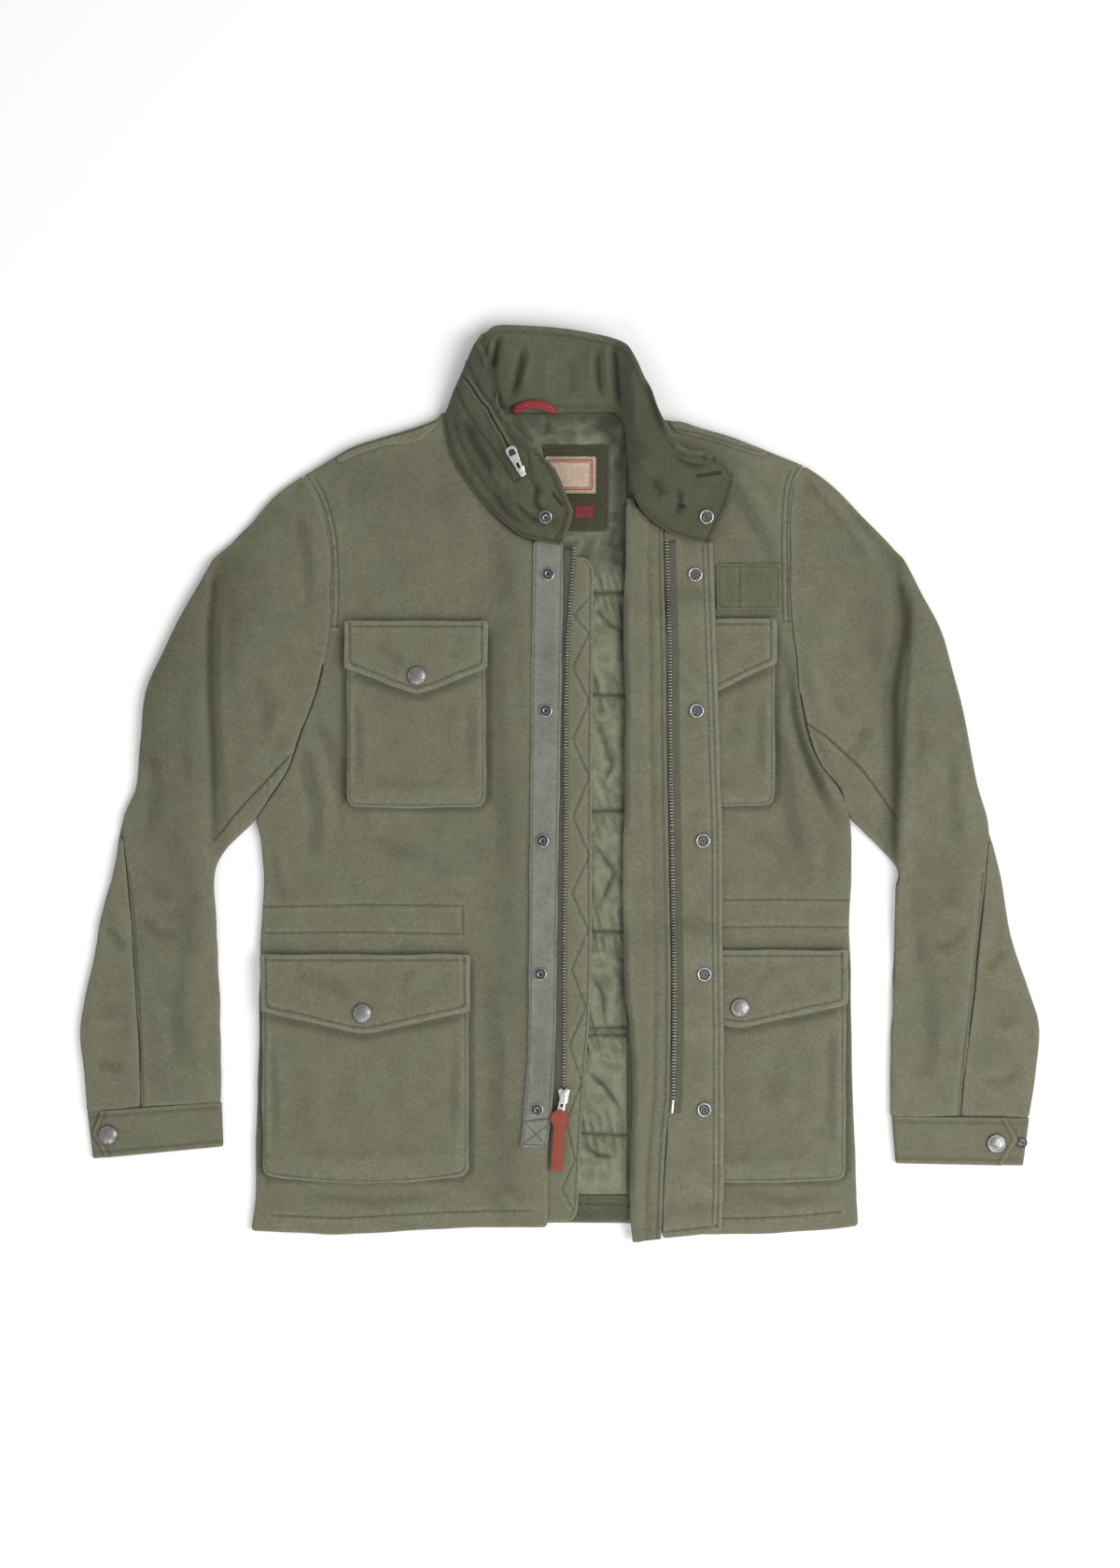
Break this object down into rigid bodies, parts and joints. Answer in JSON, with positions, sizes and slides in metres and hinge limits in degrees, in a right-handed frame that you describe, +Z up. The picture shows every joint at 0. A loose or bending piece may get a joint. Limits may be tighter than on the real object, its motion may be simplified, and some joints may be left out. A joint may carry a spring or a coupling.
{
  "type": "field jacket",
  "caption": "Field jacket laid flat, zip open and one front edge folded back over its own front, with stand collar, flap pockets, snap cuffs and a quilted lining.",
  "frame": {"origin": "On the surface the jacket lies on, under the middle of the back, half way between the sleeves and near half way from hem to collar.", "axes": "+X across the laid jacket towards the side whose front edge is folded back (the wearer's left), +Y from hem to collar, +Z up from the surface."},
  "size_m": [0.882, 0.84, 0.0451],
  "materials": {
    "twill": "washed olive cotton twill",
    "facing_twill": "inside face of the olive twill, browner",
    "herringbone_tape": "grey-green herringbone tape",
    "quilted_nylon": "light green quilted nylon, soft sheen",
    "woven_label": "cream woven label, bare",
    "loop_cord": "red braided cord",
    "leather": "rust brown, matt",
    "snap_metal": "gunmetal snaps",
    "zip_metal": "bright nickel zip"
  },
  "bodies": {
    "garment": {"back": "twill", "back_hem_facing": "facing_twill", "back_lining": "quilted_nylon", "cap_chest_left": "snap_metal", "cap_cuff_left": "snap_metal", "cap_cuff_right": "snap_metal", "cap_lower_left": "snap_metal", "cap_lower_right": "snap_metal", "chest_bag_left": "twill", "chest_bag_right": "twill", "chest_flap_left": "twill", "chest_flap_right": "twill", "collar": "twill", "collar_slider": "zip_metal", "collar_zip": "zip_metal", "cuff_left": "twill", "cuff_right": "twill", "facing_right": "facing_twill", "front_left": "twill", "front_right": "twill", "hanging_loop": "loop_cord", "label": "woven_label", "label_patch": "facing_twill", "lower_bag_left": "twill", "lower_bag_right": "twill", "lower_flap_left": "twill", "lower_flap_right": "twill", "name_tape": "twill", "sleeve_elbow_left": "twill", "sleeve_elbow_right": "twill", "sleeve_under_left": "twill", "sleeve_under_right": "twill", "sleeve_upper_left": "twill", "sleeve_upper_right": "twill", "snap_tape": "herringbone_tape", "socket_1": "snap_metal", "socket_2": "snap_metal", "socket_3": "snap_metal", "socket_4": "snap_metal", "socket_5": "snap_metal", "socket_collar": "snap_metal", "storm_flap": "facing_twill", "strap_left": "twill", "strap_right": "twill", "stud_1": "snap_metal", "stud_2": "snap_metal", "stud_3": "snap_metal", "stud_4": "snap_metal", "stud_5": "snap_metal", "stud_collar": "snap_metal", "stud_cuff_right": "snap_metal", "wind_flap": "twill", "zip_left": "zip_metal", "zip_right": "zip_metal", "zip_slider": "zip_metal"},
    "front_pull": {"zip_pull": "zip_metal", "leather_puller": "leather"},
    "hood_pull": {"collar_pull": "zip_metal"}
  },
  "joints": [
    {"name": "front_pull_swing", "type": "hinge", "parent": "garment", "child": "front_pull", "pos_m": [0.0035, -0.283, 0.0196], "axis": [-1, 0, 0], "range_deg": [0, 150]},
    {"name": "hood_pull_swing", "type": "hinge", "parent": "garment", "child": "hood_pull", "pos_m": [-0.03558, 0.28446, 0.0421], "axis": [0.8954, 0.4172, 0.1554], "range_deg": [0, 120]}
  ]
}
